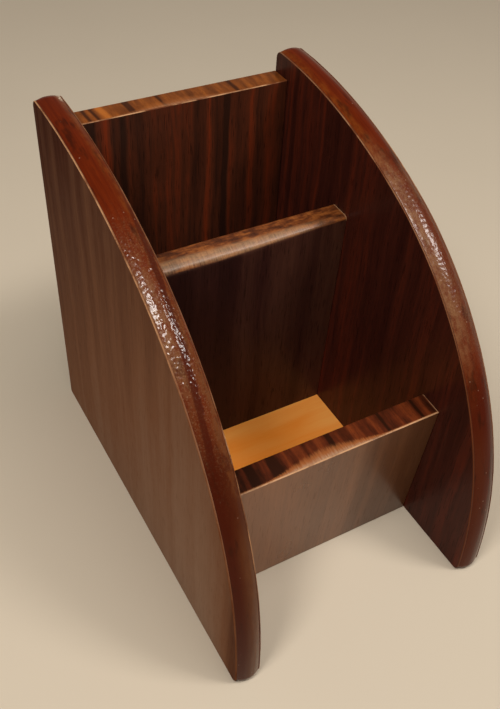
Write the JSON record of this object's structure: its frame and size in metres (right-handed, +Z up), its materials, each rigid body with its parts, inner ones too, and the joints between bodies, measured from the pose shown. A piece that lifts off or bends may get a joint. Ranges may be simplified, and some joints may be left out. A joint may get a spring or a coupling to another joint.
{
  "type": "pen stand",
  "caption": "Open desk stand for pens: two bowed side boards carry a high back, a middle divider and a low front board over a thin floor, making two stepped bays.",
  "frame": {"origin": "on the table, in the middle of the stand's footprint", "axes": "+X across the stand to its right seen from the front, +Y to its rear, +Z up"},
  "size_m": [0.101, 0.1492, 0.1368],
  "materials": {
    "dark_laminate": "dark striped wood laminate, satin",
    "striped_edge": "the same laminate with its stripes across the board, satin",
    "lacquered_board": "board edge under uneven glossy red-brown lacquer",
    "bare_board": "bare board, dull",
    "raw_floor": "raw pale plywood, dull",
    "dowel_wood": "bare beech, dull",
    "pin_steel": "bright drawn wire"
  },
  "bodies": {
    "root": {"left_side_core": "lacquered_board", "left_side_inner_laminate": "dark_laminate", "left_side_outer_laminate": "dark_laminate", "right_side_core": "lacquered_board", "right_side_inner_laminate": "dark_laminate", "right_side_outer_laminate": "dark_laminate", "back_core": "bare_board", "back_front_laminate": "dark_laminate", "back_rear_laminate": "dark_laminate", "back_top_strip": "striped_edge", "divider_core": "bare_board", "divider_wrap": "dark_laminate", "front_core": "bare_board", "front_outer_laminate": "dark_laminate", "front_inner_laminate": "dark_laminate", "front_top_strip": "striped_edge", "floor_board": "raw_floor", "floor_pins": "pin_steel", "back_dowels": "dowel_wood", "divider_dowels": "dowel_wood", "front_dowels": "dowel_wood"}
  },
  "joints": []
}
